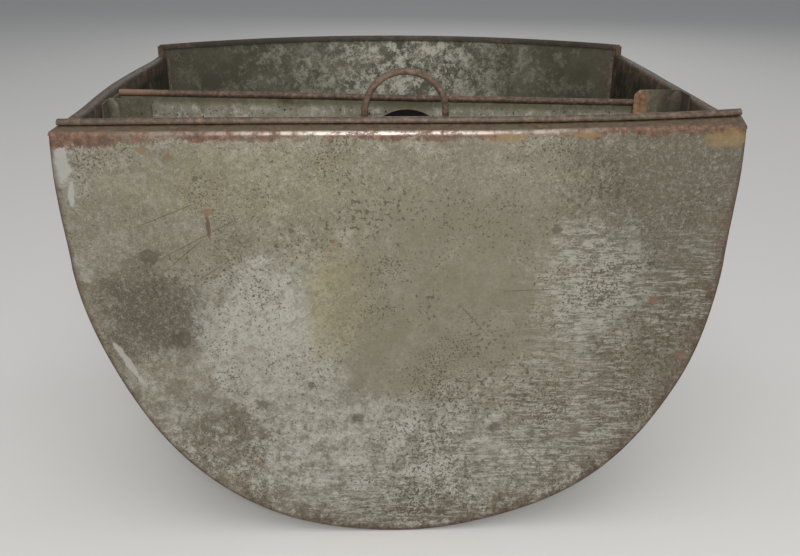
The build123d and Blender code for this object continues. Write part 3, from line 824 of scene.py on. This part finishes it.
def settled(place):
    """Where a point of the trough ends up."""
    x, y, z = place
    moved = place.copy()
    along = y / FAR_Y
    free = 1 - min(1.0, abs(along)) ** 8
    wall = ramp(abs(x), 60 * MM, 130 * MM) * ramp(z, 60 * MM, SIDE_TOP)
    if x < 0:
        moved.x -= LEFT_BOW * 0.6 * math.cos(math.pi * along) * free * wall
    else:
        moved.x += RIGHT_BOW * free * wall
    near = ramp(y, -75 * MM, -84 * MM)
    top = ramp(z, 150 * MM, TOP_Z)
    fold = -FOLD_SAG + 1.9 * MM * ramp(x, 30 * MM, 130 * MM)
    share = x / (138 * MM)
    bead = -BEAD_SAG + (BEAD_RISE * share ** 3 if x > 0 else -0.6 * MM * share ** 2)
    behind = ramp(y, NEAR_Y + 1 * MM, NEAR_Y + 7 * MM)
    moved.z += near * top * (fold + (bead - fold) * behind)
    moved += outline_knocks(x, z) * ramp(y, -45 * MM, NEAR_Y)
    inset = END_RADIUS - math.hypot(x, min(z - ARC_Z, 0.0))
    inside = ramp(inset, 5 * MM, 22 * MM) * ramp(z, 197 * MM, 176 * MM)
    at_end = ramp(abs(along), 0.93, 0.97)
    moved.y += DENT * inside * at_end * dent(place, 62 * MM, 3.1 if y < 0 else 7.7)
    skin = ramp(inset, 20 * MM, 8 * MM) * free * (1 - at_end)
    outward = Vector((x, 0, min(z - ARC_Z, 0.0))).normalized()
    clear_of_guides = ramp(abs(y + 24 * MM), 12 * MM, 30 * MM) if z > 140 * MM else 1.0
    moved += outward * skin * clear_of_guides * DENT * dent(place, 40 * MM, 1.3)
    return moved


print("near rim sags by", round(FOLD_SAG / MM, 1), "mm")

# %% [markdown]
# ## Helpers for sheet metal
# A tinsmith draws a line, bends it and turns it over, and bmesh can do the same. A line of edges is
# extruded and moved for a flat run, or spun round an axis for a bend. The last helper merges doubles,
# points the faces the right way and gives the sheet its thickness with a Solidify modifier. A small
# Bevel takes the razor edge off the cut sheet, so that it catches light as real sheet does.

# %% Draw, extrude and bend a line of edges
def draw_line(bm, points, closed=False):
    """Edges through points."""
    verts = [bm.verts.new(p) for p in points]
    pairs = list(zip(verts, verts[1:] + verts[:1])) if closed else list(zip(verts, verts[1:]))
    return [bm.edges.new(pair) for pair in pairs]


def only(kind, geometry):
    return [g for g in geometry if isinstance(g, kind)]


def verts_of(edges):
    """Each vertex of the edges once, in order."""
    return list(dict.fromkeys(v for e in edges for v in e.verts))


def run(bm, line, move, rows=1):
    """Extrudes a line of edges by move, in rows. Returns the last line."""
    for _ in range(rows):
        grown = bmesh.ops.extrude_edge_only(bm, edges=line)["geom"]
        verts = only(bmesh.types.BMVert, grown)
        bmesh.ops.translate(bm, vec=Vector(move) / rows, verts=verts)
        line = [e for e in only(bmesh.types.BMEdge, grown) if e.verts[0] in verts and e.verts[1] in verts]
    return line


def bend(bm, line, centre, axis, degrees, steps):
    """Spins a line of edges round an axis. Returns the last line."""
    spun = bmesh.ops.spin(bm, geom=verts_of(line) + line, cent=centre, axis=axis, angle=math.radians(degrees),
                          steps=steps)["geom_last"]
    return only(bmesh.types.BMEdge, spun)


print("a line can be drawn, run and bent")

# %% Turn a bmesh into a finished piece
SMOOTH_BELOW = math.radians(35)
CUT_EDGE = 0.12 * MM
MERGE_WITHIN = 1e-6


def seal(bm):
    """Merges doubles and points the faces of a closed shape outwards."""
    bmesh.ops.remove_doubles(bm, verts=bm.verts, dist=MERGE_WITHIN)
    bmesh.ops.recalc_face_normals(bm, faces=bm.faces)


def clean(bm, towards):
    """Merges doubles and points the faces of an open sheet towards a place."""
    seal(bm)
    agreement = sum(f.calc_area() * f.normal.dot(Vector(towards) - f.calc_center_median()) for f in bm.faces)
    if agreement < 0:
        bmesh.ops.reverse_faces(bm, faces=bm.faces)


def place_piece(bm, node, form, finish, sheet=0.0, offset=-1.0, body="trough", move=settled):
    """Makes the object, gives a sheet its thickness, parents it to its body and hides node, which it stands
    in for.

    It is named after its node and its form.
    Each vertex first remembers how many millimetres it lies inside the U of the end panels, as a float
    attribute called inset, so that rust follows the edge wherever the edge is knocked to."""
    inset = bm.verts.layers.float.new("inset")
    for vert in bm.verts:
        vert[inset] = (END_RADIUS - math.hypot(vert.co.x, min(vert.co.z - ARC_Z, 0.0))) / MM
    if move:
        for vert in bm.verts:
            vert.co = move(vert.co)
    name = node + "_" + form
    mesh = bpy.data.meshes.new(name)
    bm.to_mesh(mesh)
    bm.free()
    mesh.shade_smooth()
    mesh.set_sharp_from_angle(angle=SMOOTH_BELOW)
    mesh.materials.append(finish)
    piece = bpy.data.objects.new(name, mesh)
    bpy.context.scene.collection.objects.link(piece)
    if sheet:
        wall = piece.modifiers.new("thickness", "SOLIDIFY")
        wall.thickness = sheet
        wall.offset = offset
        soften = piece.modifiers.new("cut edge", "BEVEL")
        soften.width = CUT_EDGE
        soften.segments = 2
        soften.limit_method = "ANGLE"
        soften.angle_limit = SMOOTH_BELOW
        soften.harden_normals = True
    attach(piece, body)
    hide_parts(node)
    print(name, len(mesh.polygons), "faces")


# %% [markdown]
# ## Round-bottomed shapes
# Both panels, the body sheet, the divider and the solder runs all follow the same U. Each starts as a
# line at the right, level with the centre of the round bottom. A spin of half a turn takes it under
# the trough to the left, and both ends are then run straight up to the rim.

# %% Spin a line into a U
ROUND_STEPS = 100


def u_shape(bm, line, centre_z, rise, rows):
    """Spins a line half a turn under the trough and runs its ends up. Returns both top lines."""
    left = bend(bm, line, (0, 0, centre_z), (0, 1, 0), 180, ROUND_STEPS)
    right_top = run(bm, line, (0, 0, rise), rows)
    left_top = run(bm, left, (0, 0, rise), rows)
    return right_top, left_top


def spaced(start, stop, step):
    """Even values from start to stop, about step apart."""
    count = max(1, round(abs(stop - start) / step))
    return [start + (stop - start) * i / count for i in range(count + 1)]


LIP_WIDTH = 3.6 * MM


def folded_spoke(outside_y, inward, centre_z):
    """A line from the middle of an end panel to its edge, round the body's flange and back."""
    stack = 2 * PANEL_SHEET + WRAP_SHEET
    turn_radius = stack / 2
    turn_r = END_RADIUS - turn_radius
    points = [Vector((r, outside_y, centre_z)) for r in spaced(0, turn_r, 4.2 * MM)]
    for angle in (30, 60, 90, 120, 150, 180):
        swing = math.radians(angle)
        away = turn_radius * (1 - math.cos(swing)) * inward
        points.append(Vector((turn_r + turn_radius * math.sin(swing), outside_y + away, centre_z)))
    points.append(Vector((END_RADIUS - LIP_WIDTH, outside_y + stack * inward, centre_z)))
    return points


print("a spoke has", len(folded_spoke(NEAR_Y, 1, ARC_Z)), "points")

# %% [markdown]
# ## Near end panel
# A flat U whose edge is turned back round the flange of the body sheet. Its top is folded back into a
# narrow shelf and rolled round a wire, which makes a stiff edge for the ring to lean on. The fold, the
# shelf and the roll are three more moves of the panel's own top line.

# %% Near end panel
FOLD_OUTSIDE = 1.8 * MM
SHELF_LENGTH = 5.8 * MM
SHELF_RISE = math.radians(10)
CURL_SWEEP = 285
CORNER_TRIM = 1.4 * MM
NEAR_TOP_HALF = 140 * MM


def make_near_panel():
    bm = bmesh.new()
    line = draw_line(bm, folded_spoke(NEAR_Y, 1, ARC_Z))
    fold_z = TOP_Z - FOLD_OUTSIDE
    tops = u_shape(bm, line, ARC_Z, fold_z - ARC_Z, 14)
    for vert in bm.verts:
        if vert.co.z > ARC_Z:
            vert.co.x *= 1 + (NEAR_TOP_HALF / END_RADIUS - 1) * (vert.co.z - ARC_Z) / (fold_z - ARC_Z)
    front = [e for top in tops for e in top if all(v.co.y < NEAR_Y + MERGE_WITHIN for v in e.verts)]
    before = set(bm.verts)
    line = bend(bm, front, (0, NEAR_Y + FOLD_OUTSIDE, fold_z), (1, 0, 0), SHELF_RISE * 180 / math.pi - 90, 6)
    line = run(bm, line, (0, SHELF_LENGTH * math.cos(SHELF_RISE), SHELF_LENGTH * math.sin(SHELF_RISE)), 3)
    bend(bm, line, (0, NEAR_BEAD_Y, NEAR_BEAD_Z), (1, 0, 0), CURL_SWEEP, 14)
    widest = max(v.co.x for e in front for v in e.verts)
    for vert in bm.verts:
        if vert not in before:
            back = ramp(vert.co.y, NEAR_Y, NEAR_Y + 9 * MM)
            vert.co.x *= (NEAR_TOP_HALF - CORNER_TRIM * back) / widest
    clean(bm, (0, -10, 0))
    place_piece(bm, "near_end_panel", "sheet", PANEL_TIN, PANEL_SHEET)


make_near_panel()

# %% [markdown]
# ## Far end panel
# The same U turned round, but taller: its top is a shallow arch with a flat hem folded to the inside.
# The rows above the round part are stretched to meet the arch, and the hem is the top line moved
# through a tight half circle and then down.

# %% Far end panel
HEM_DEPTH = 2.0 * MM
HEM_RADIUS = 0.85 * MM


def arch_z(x):
    """Height of the far panel's top at x."""
    return far_high.z - HEM_RADIUS - (far_high.z - FAR_CORNER_Z) * (x / FAR_TOP_HALF) ** 2


def make_far_panel():
    bm = bmesh.new()
    line = draw_line(bm, folded_spoke(FAR_Y, -1, ARC_Z))
    tops = u_shape(bm, line, ARC_Z, TOP_Z - ARC_Z, 15)
    for vert in bm.verts:
        share = (vert.co.z - ARC_Z) / (TOP_Z - ARC_Z)
        if share > 0:
            vert.co.x *= 1 + (FAR_TOP_HALF / END_RADIUS - 1) * share
            vert.co.z = ARC_Z + (arch_z(vert.co.x) - ARC_Z) * share
    line = [e for top in tops for e in top if all(v.co.y > FAR_Y - MERGE_WITHIN for v in e.verts)]
    steps = [math.radians(a) for a in (0, 45, 90, 135, 180)]
    for start, stop in zip(steps, steps[1:]):
        move_y = HEM_RADIUS * (math.cos(stop) - math.cos(start))
        move_z = HEM_RADIUS * (math.sin(stop) - math.sin(start))
        line = run(bm, line, (0, move_y, move_z))
    run(bm, line, (0, 0, -HEM_DEPTH), 2)
    clean(bm, (0, 10, 0))
    place_piece(bm, "far_end_panel", "sheet", FAR_TIN, PANEL_SHEET)


make_far_panel()

# %% [markdown]
# ## Body sheet
# One strip bent into the U, with a flange turned out at each end for the panels to grip. Its inner
# face is drawn and the thickness goes outwards. Both top edges are then rolled outwards over a wire,
# from just behind the near panel's shelf to the far seam.

# %% Body sheet with its rolled rims
FLANGE_REACH = END_RADIUS - PANEL_SHEET - 0.3 * MM
TURN_OUT = 0.8 * MM
SIDE_BEAD_X = (side_wire_low.x + side_wire_high.x) / 2


def make_body_sheet():
    bm = bmesh.new()
    inside_near = NEAR_Y + PANEL_SHEET
    turn = [(1 - math.sin(math.radians(a)), 1 - math.cos(math.radians(a))) for a in (0, 30, 60, 90)]
    near_end = [(FLANGE_REACH, inside_near)]
    near_end += [(WRAP_RADIUS + TURN_OUT * out, inside_near + TURN_OUT * back) for out, back in turn]
    wall = [(WRAP_RADIUS, y) for y in spaced(side_wire_low.y, side_wire_high.y, 4 * MM)]
    far_end = [(r, -y) for r, y in reversed(near_end)]
    points = [(r, y, ARC_Z) for r, y in near_end + wall + far_end]
    tops = u_shape(bm, draw_line(bm, points), ARC_Z, SIDE_TOP - ARC_Z, 15)
    for top, side in zip(tops, (1, -1)):
        from_y, to_y = side_wire_low.y - MERGE_WITHIN, side_wire_high.y + MERGE_WITHIN
        rolled = [e for e in top if all(from_y < v.co.y < to_y for v in e.verts)]
        bend(bm, rolled, (side * SIDE_BEAD_X, 0, SIDE_TOP), (0, 1, 0), side * CURL_SWEEP, 16)
    clean(bm, (0, 0, ARC_Z))
    place_piece(bm, "body_wrap", "sheet", WRAP_TIN, WRAP_SHEET)


make_body_sheet()

# %% [markdown]
# ## Wires
# Wire is a circle swept along straight runs and bends. The circle is drawn once and then run and bent
# like a line of sheet. Its two ends are closed with a face. The wires bow and sag with the rims that
# hold them.

# %% Straight wires in the rolled rims
WIRE_ROWS = 48


def ring_of_edges(bm, centre, axis, radius, segments=16):
    """A circle of edges round centre, square to axis."""
    facing = Vector(axis).to_track_quat("Z", "Y").to_matrix().to_4x4()
    made = bmesh.ops.create_circle(bm, cap_ends=False, segments=segments, radius=radius,
                                   matrix=Matrix.Translation(centre) @ facing)
    return list(dict.fromkeys(e for v in made["verts"] for e in v.link_edges))


def close_ends(bm, *lines):
    for line in lines:
        bmesh.ops.contextual_create(bm, geom=line)


def straight_wire(start, travel, radius, rows):
    """A closed rod from start."""
    bm = bmesh.new()
    first = ring_of_edges(bm, start, travel, radius)
    close_ends(bm, first, run(bm, first, travel, rows))
    seal(bm)
    return bm


def make_rim_wire(node, axis):
    """A straight wire along X or Y that fills the box of its solid."""
    low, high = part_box(node)
    middle = (low + high) / 2
    if axis == "X":
        radius = min(high.y - low.y, high.z - low.z) / 2
        start, travel = Vector((low.x, middle.y, middle.z)), Vector((high.x - low.x, 0, 0))
    else:
        radius = (high.x - low.x) / 2
        start, travel = Vector((middle.x, low.y, middle.z)), Vector((0, high.y - low.y, 0))
    place_piece(straight_wire(start, travel, radius, WIRE_ROWS), node, "rod", RIM_WIRE)


for wire_node, wire_axis in (("right_rim_wire", "Y"), ("left_rim_wire", "Y"), ("near_rim_wire", "X")):
    make_rim_wire(wire_node, wire_axis)

# %% [markdown]
# ## Solder
# A run of solder fills each inside corner between the body sheet and an end panel, and a dab holds
# each guide and the strap of the ring. The runs are a small closed outline spun round the U. Noise
# swells and thins them, because solder was pulled along by hand with an iron.

# %% Solder runs and dabs
def make_solder_run(node, corner_y, inward):
    bm = bmesh.new()
    outline = [(0, 0), (-1.1, 0), (-2.1, 0.15), (-1.5, 0.75), (-0.75, 1.5), (-0.15, 2.1), (0, 1.1)]
    points = [(WRAP_RADIUS + r * MM, corner_y + y * MM * inward, ARC_Z) for r, y in outline]
    line = draw_line(bm, points, closed=True)
    tops = u_shape(bm, line, ARC_Z, SIDE_TOP - ARC_Z, 24)
    close_ends(bm, *tops)
    seal(bm)
    for vert in bm.verts:
        side = Vector((vert.co.x, 0, min(vert.co.z - ARC_Z, 0.0)))
        corner = side.normalized() * WRAP_RADIUS
        corner = Vector((corner.x, corner_y, ARC_Z + corner.z if vert.co.z < ARC_Z else vert.co.z))
        swell = 0.85 + 0.28 * dent(vert.co, 9 * MM, 2.0) + 0.12 * dent(vert.co, 3 * MM, 5.0)
        vert.co = corner + (vert.co - corner) * swell
    place_piece(bm, node, "run", SOLDER)


def make_dabs(node, places, radius, height, move=settled):
    """Low lumps of solder. places holds pairs: a point on the sheet and the way that it stands out."""
    bm = bmesh.new()
    for number, (place, outward) in enumerate(places):
        made = bmesh.ops.create_icosphere(bm, subdivisions=4, radius=1.0)["verts"]
        for vert in made:
            lump = 1 + 0.22 * dent(vert.co, 0.7, 1.0 + number) + 0.08 * dent(vert.co, 0.25, 4.0)
            vert.co = Vector((vert.co.x * radius, vert.co.y * radius, max(vert.co.z, -0.1) * height)) * lump
        facing = Vector(outward).to_track_quat("Z", "Y").to_matrix().to_4x4()
        bmesh.ops.transform(bm, matrix=Matrix.Translation(place) @ facing, verts=made)
    place_piece(bm, node, "dabs", SOLDER, move=move)


make_solder_run("near_seam_solder", NEAR_Y + PANEL_SHEET, 1)
make_solder_run("far_seam_solder", FAR_Y - PANEL_SHEET, -1)
strap_dab_low, strap_dab_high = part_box("strap_solder")
strap_dab = (strap_dab_low + strap_dab_high) / 2
DAB_RADIUS = (strap_dab_high.x - strap_dab_low.x) / 2
DAB_HEIGHT = 0.9 * MM
strap_dab_place = Vector((strap_dab.x, strap_dab_low.y, strap_dab.z))
make_dabs("strap_solder", [(strap_dab_place, (0, 1, 0))], DAB_RADIUS, DAB_HEIGHT, move=None)
guide_dab_low, guide_dab_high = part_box("guide_solder")
dab_z = (guide_dab_low.z + guide_dab_high.z) / 2
dab_places = []
for side in (1, -1):
    for dab_y in (guide_dab_low.y + DAB_RADIUS, guide_dab_high.y - DAB_RADIUS):
        dab_places.append((Vector((side * guide_dab_high.x, dab_y, dab_z)), (-side, 0, 0)))
make_dabs("guide_solder", dab_places, DAB_RADIUS, DAB_HEIGHT)

# %% [markdown]
# ## Guides
# Four strips bent to an L are soldered to the side walls, one before and one behind the divider at each
# side. Each is drawn as the two legs seen from above and run upwards in short rows, so that it can
# take a slight wave. The corners of the free leg are snipped.

# %% Four guides
SNIP = 2.5 * MM
GUIDE_BEND = 5.35 * MM


def make_guide(node):
    low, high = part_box(node)
    side = 1 if high.x > 0 else -1
    wall_x = high.x if side > 0 else low.x
    tip_x = low.x if side > 0 else high.x
    in_front = high.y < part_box("divider_plate")[0].y
    free_y, foot_y = (high.y, low.y) if in_front else (low.y, high.y)
    bm = bmesh.new()
    foot = [(wall_x, y) for y in spaced(foot_y, free_y, 2 * MM)]
    leg = [(x, free_y) for x in spaced(wall_x, tip_x, 2.5 * MM)][1:]
    line = draw_line(bm, [(x, y, low.z) for x, y in foot + leg])
    run(bm, line, (0, 0, high.z - low.z), 16)
    corner_at = (wall_x, free_y)
    corner = [e for e in bm.edges if all(math.dist(v.co[:2], corner_at) < MERGE_WITHIN for v in e.verts)]
    for vert in bm.verts:
        if abs(vert.co.x - tip_x) < MERGE_WITHIN:
            vert.co.z = min(max(vert.co.z, low.z + SNIP), high.z - SNIP)
    bmesh.ops.bevel(bm, geom=corner, offset=GUIDE_BEND, affect="EDGES", segments=8, profile=0.5, material=-1)
    clean(bm, (side * 10, 10 if in_front else -10, ARC_Z))
    for vert in bm.verts:
        away = ramp(abs(vert.co.x - wall_x), 2 * MM, 18 * MM)
        lean = -1 if in_front else 1
        vert.co.y += lean * away * abs(dent(vert.co, 22 * MM, 6.0)) * 0.5 * MM
    place_piece(bm, node, "strip", GUIDE_TIN, WRAP_SHEET)


for guide_node in ("right_front_guide", "left_front_guide", "right_rear_guide", "left_rear_guide"):
    make_guide(guide_node)

# %% [markdown]
# ## Divider
# A loose U-shaped sheet with its top rolled forward over a wire and a round hole to lift it by. The
# hole is cut in two steps: faces inside a square are deleted, and the square's edge is extruded and
# pulled in to a circle. At the end the whole divider is turned a little, since it sits askew.

# %% Divider plate
divider_low, divider_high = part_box("divider_plate")
DIVIDER_RADIUS = -divider_low.x
DIVIDER_TOP_HALF = 131.3 * MM
DIVIDER_CENTRE_Z = ARC_Z - WRAP_RADIUS + 0.3 * MM + DIVIDER_RADIUS
DIVIDER_BACK = divider_high.y
DIVIDER_BEAD = divider_high.y - divider_low.y
DIVIDER_BEAD_Z = TOP_Z - 0.7 * MM - DIVIDER_BEAD / 2
DIVIDER_BEAD_HALF = 129.5 * MM
HOLE = Vector((4.1 * MM, DIVIDER_BACK, TOP_Z - 28.7 * MM))
HOLE_RADIUS = 20.9 * MM


def tilted(place):
    turned = Matrix.Rotation(DIVIDER_TILT, 3, "Y") @ (place - Vector((0, 0, DIVIDER_CENTRE_Z)))
    return turned + Vector((0, 0, DIVIDER_CENTRE_Z))


def divider_settled(place):
    """Dents that fade out where the guides hold the divider, then the tilt."""
    inside = ramp(DIVIDER_RADIUS - math.hypot(place.x, min(place.z - ARC_Z, 0.0)), 14 * MM, 36 * MM)
    place = place + Vector((0, DENT * inside * dent(place, 55 * MM, 4.4), 0))
    return tilted(place)


def cut_round_hole(bm, centre, radius, reach):
    """Opens a square window in the sheet, then draws its edge in to a circle."""
    window = [f for f in bm.faces if abs(f.calc_center_median().x - centre.x) < reach
              and abs(f.calc_center_median().z - centre.z) < reach]
    frame_edges = [e for e in bm.edges if len([f for f in e.link_faces if f in window]) == 1]
    bmesh.ops.delete(bm, geom=window, context="FACES")
    grown = bmesh.ops.extrude_edge_only(bm, edges=frame_edges)["geom"]
    for vert in only(bmesh.types.BMVert, grown):
        vert.co = centre + (vert.co - centre).normalized() * radius
    return len(frame_edges)


def make_divider():
    bm = bmesh.new()
    spoke = [(r, DIVIDER_BACK, DIVIDER_CENTRE_Z) for r in spaced(0, DIVIDER_RADIUS, 4.1 * MM)]
    tops = u_shape(bm, draw_line(bm, spoke), DIVIDER_CENTRE_Z, DIVIDER_BEAD_Z - DIVIDER_CENTRE_Z, 15)
    bmesh.ops.remove_doubles(bm, verts=bm.verts, dist=MERGE_WITHIN)
    print("hole drawn in from", cut_round_hole(bm, HOLE, HOLE_RADIUS, 24 * MM), "edges")
    for vert in bm.verts:
        share = (vert.co.z - DIVIDER_CENTRE_Z) / (DIVIDER_BEAD_Z - DIVIDER_CENTRE_Z)
        if share > 0:
            vert.co.x *= 1 + (DIVIDER_TOP_HALF / DIVIDER_RADIUS - 1) * share
    top = [e for e in bm.edges if all(abs(v.co.z - DIVIDER_BEAD_Z) < MERGE_WITHIN for v in e.verts)
           and all(abs(v.co.x) < DIVIDER_BEAD_HALF + 3 * MM for v in e.verts)]
    axis_y = DIVIDER_BACK - DIVIDER_BEAD / 2
    bend(bm, top, (0, axis_y, DIVIDER_BEAD_Z), (1, 0, 0), CURL_SWEEP, 14)
    clean(bm, (0, 10, 0))
    place_piece(bm, "divider_plate", "sheet", DIVIDER_TIN, WRAP_SHEET, body="divider",
                move=divider_settled)


make_divider()


def make_divider_wire():
    start = Vector((-DIVIDER_BEAD_HALF, DIVIDER_BACK - DIVIDER_BEAD / 2, DIVIDER_BEAD_Z))
    radius = DIVIDER_BEAD / 2 - WRAP_SHEET - 0.05 * MM
    bm = straight_wire(start, Vector((2 * DIVIDER_BEAD_HALF, 0, 0)), radius, 40)
    place_piece(bm, "divider_rim_wire", "rod", RIM_WIRE, body="divider", move=tilted)


make_divider_wire()

# %% [markdown]
# ## Ring and strap
# The pull is a closed D of wire. Its straight base bar turns in a strap, a strip of tin rolled round
# it and soldered down the inside of the near panel. The D is one circle of edges run and bent all the
# way round until it meets its start. It leans forward on the near rim.

# %% Pull ring
ring_hinge = next(j for j in frame["record"]["behaviour"]["joints"] if j["name"] == "ring_hinge")
RING_AT = Vector(ring_hinge["pos_m"])
ring_low, ring_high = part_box("pull_ring")
RING_WIRE_RADIUS = RING_AT.z - ring_low.z
RING_RADIUS = (ring_high.x - ring_low.x) / 2 - RING_WIRE_RADIUS
RING_CORNER = 2.6 * MM
RING_LEG = 4.4 * MM
RING_LEAN = math.radians(5)


def ring_shape(place):
    """A slightly uneven ring, leaned forward about its base bar."""
    uneven = Vector((dent(place, 14 * MM, 2.2), 0, dent(place, 14 * MM, 8.1))) * 0.2 * MM
    uneven *= ramp(place.z - RING_AT.z, 2 * MM, 8 * MM)
    return RING_AT + Matrix.Rotation(RING_LEAN, 3, "X") @ (place + uneven - RING_AT)


def make_pull_ring():
    bm = bmesh.new()
    half_bar = RING_RADIUS - RING_CORNER
    first = ring_of_edges(bm, RING_AT, (1, 0, 0), RING_WIRE_RADIUS)
    line = run(bm, first, (half_bar, 0, 0), 5)
    line = bend(bm, line, RING_AT + Vector((half_bar, 0, RING_CORNER)), (0, -1, 0), 90, 6)
    line = run(bm, line, (0, 0, RING_LEG - RING_CORNER))
    line = bend(bm, line, RING_AT + Vector((0, 0, RING_LEG)), (0, -1, 0), 180, 40)
    line = run(bm, line, (0, 0, RING_CORNER - RING_LEG))
    line = bend(bm, line, RING_AT + Vector((-half_bar, 0, RING_CORNER)), (0, -1, 0), 90, 6)
    run(bm, line, (half_bar, 0, 0), 5)
    seal(bm)
    place_piece(bm, "pull_ring", "wire", RING_WIRE, body="ring", move=ring_shape)


make_pull_ring()

# %% Ring strap
STRAP_SHEET = 0.6 * MM
STRAP_BEND = 1.0 * MM
strap_low, strap_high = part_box("ring_strap")
STRAP_LOOP = RING_WIRE_RADIUS + 0.3 * MM + STRAP_SHEET / 2


def make_strap():
    bm = bmesh.new()
    leg_y = strap_low.y + STRAP_SHEET / 2
    run_z = RING_AT.z - STRAP_LOOP
    line = draw_line(bm, [(x, leg_y, strap_low.z) for x in spaced(strap_low.x, strap_high.x, 2 * MM)])
    line = run(bm, line, (0, 0, run_z - STRAP_BEND - strap_low.z), 5)
    line = bend(bm, line, (0, leg_y + STRAP_BEND, run_z - STRAP_BEND), (1, 0, 0), -90, 4)
    line = run(bm, line, (0, RING_AT.y - leg_y - STRAP_BEND, 0), 4)
    bend(bm, line, (0, RING_AT.y, RING_AT.z), (1, 0, 0), CURL_SWEEP, 14)
    clean(bm, (0, 10, ARC_Z))
    place_piece(bm, "ring_strap", "strip", GUIDE_TIN, STRAP_SHEET, offset=0.0, move=None)


make_strap()
